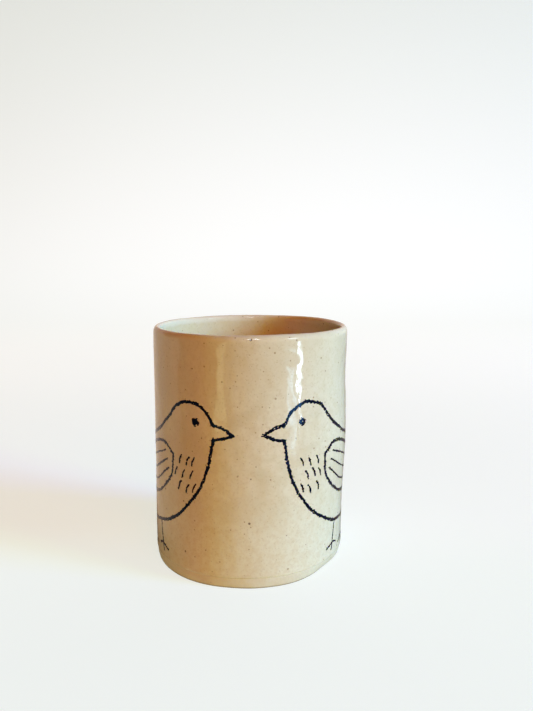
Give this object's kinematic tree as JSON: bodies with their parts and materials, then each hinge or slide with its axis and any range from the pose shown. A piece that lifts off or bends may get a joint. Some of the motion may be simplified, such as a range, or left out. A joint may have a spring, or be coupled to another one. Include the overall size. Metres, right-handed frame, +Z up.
{
  "type": "stoneware drinking cup",
  "caption": "Straight-sided handmade stoneware tumbler with a rounded lip, bevelled foot and glossy glaze, decorated with two birds drawn beak to beak.",
  "frame": {"origin": "centre of the underside, where the cup's axis meets the table", "axes": "+Z up along the cup's axis, -Y towards the front, where the two beaks meet, +X to the viewer's right"},
  "size_m": [0.08, 0.08, 0.0973],
  "materials": {
    "stoneware": "matte",
    "bare_stoneware": "matte",
    "outer_glaze": "gloss",
    "liner_glaze": "gloss",
    "underglaze_black": "gloss"
  },
  "bodies": {
    "root": {"wall": "stoneware", "base": "bare_stoneware", "outer_glaze": "outer_glaze", "liner_glaze": "liner_glaze"}
  },
  "joints": []
}
